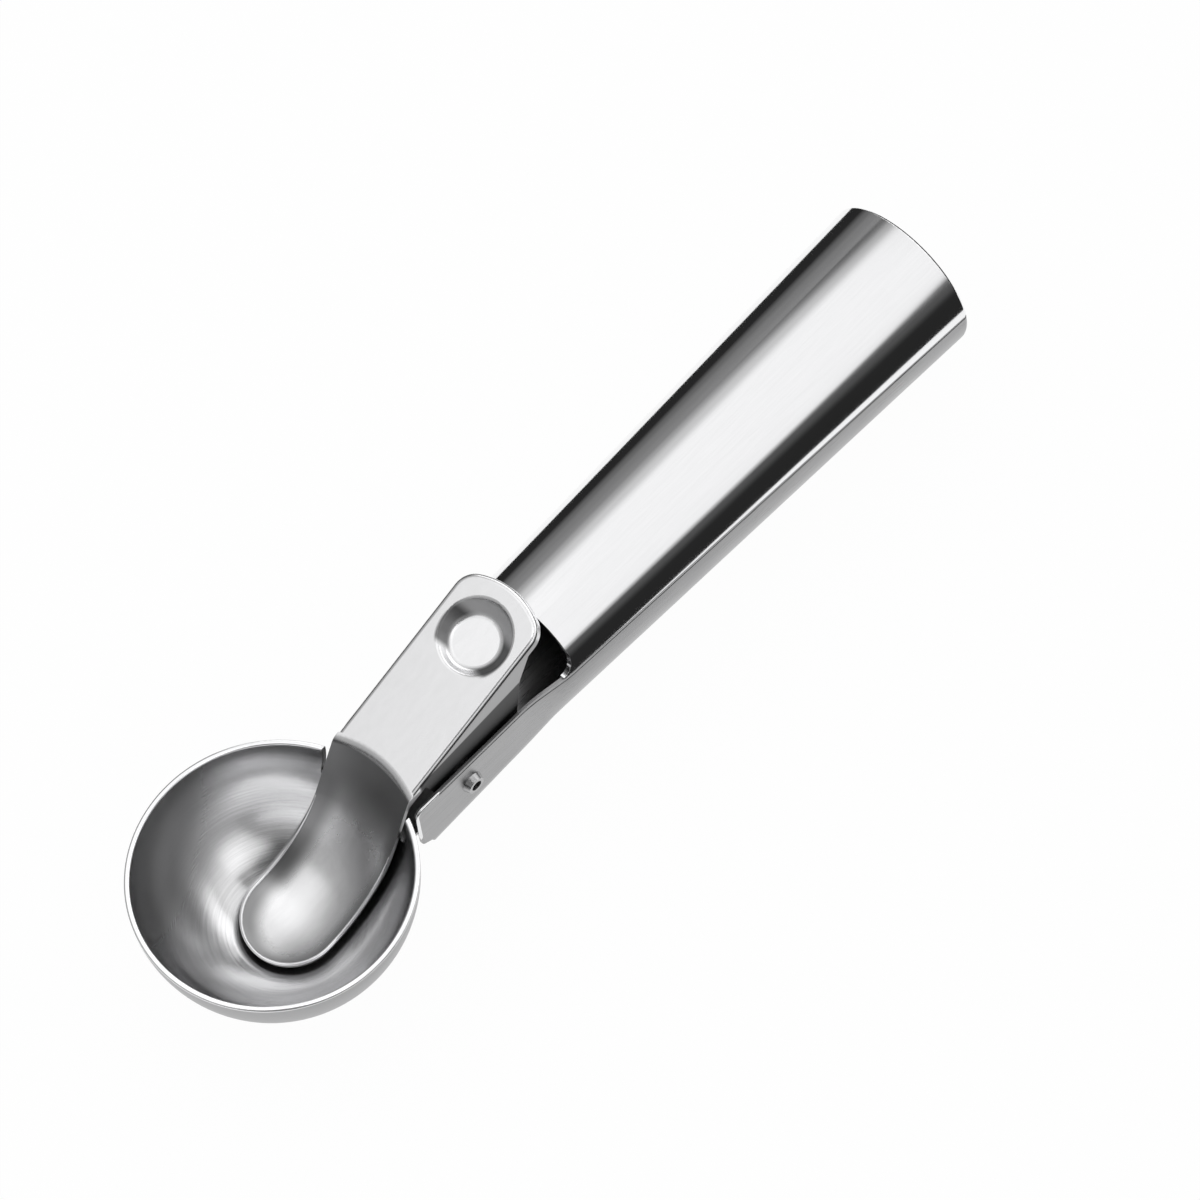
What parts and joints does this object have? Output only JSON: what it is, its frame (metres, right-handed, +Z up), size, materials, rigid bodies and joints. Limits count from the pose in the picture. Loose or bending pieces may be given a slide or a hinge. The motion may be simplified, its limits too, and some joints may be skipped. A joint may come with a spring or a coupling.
{
  "type": "ice cream scoop",
  "caption": "Thumb-lever ice cream scoop: round bowl on a hollow two-shell handle, with a sprung thumb plate whose tongue lifts out the ball.",
  "frame": {"origin": "middle of the underside of the whole scoop's box, at the level of the bowl's bottom", "axes": "+X from the bowl to the handle's end, +Z up out of the bowl's mouth"},
  "size_m": [0.19, 0.052, 0.0433],
  "materials": {
    "bowl_steel": "satin, brushed in rings",
    "trough_steel": "satin",
    "cover_steel": "mirror polished",
    "lever_steel": "fine satin",
    "rivet_steel": "turned and set",
    "sleeve_steel": "drawn tube",
    "spring_steel": "drawn wire",
    "washer_steel": "stamped"
  },
  "bodies": {
    "base": {"bowl": "bowl_steel", "lower_shell": "trough_steel", "upper_shell": "cover_steel", "pivot_rivet": "rivet_steel", "pivot_sleeve": "sleeve_steel", "return_spring": "spring_steel", "near_washer": "washer_steel", "far_washer": "washer_steel"},
    "lever": {"thumb_lever": "lever_steel"}
  },
  "joints": [
    {"name": "thumb_hinge", "type": "hinge", "parent": "base", "child": "lever", "pos_m": [-0.0307, 0, 0.0181], "axis": [0, 1, 0], "range_deg": [0, 13], "stiffness_Nm_per_rad": 0.5, "springref_deg": -17.19, "deforming": ["return_spring"]}
  ]
}
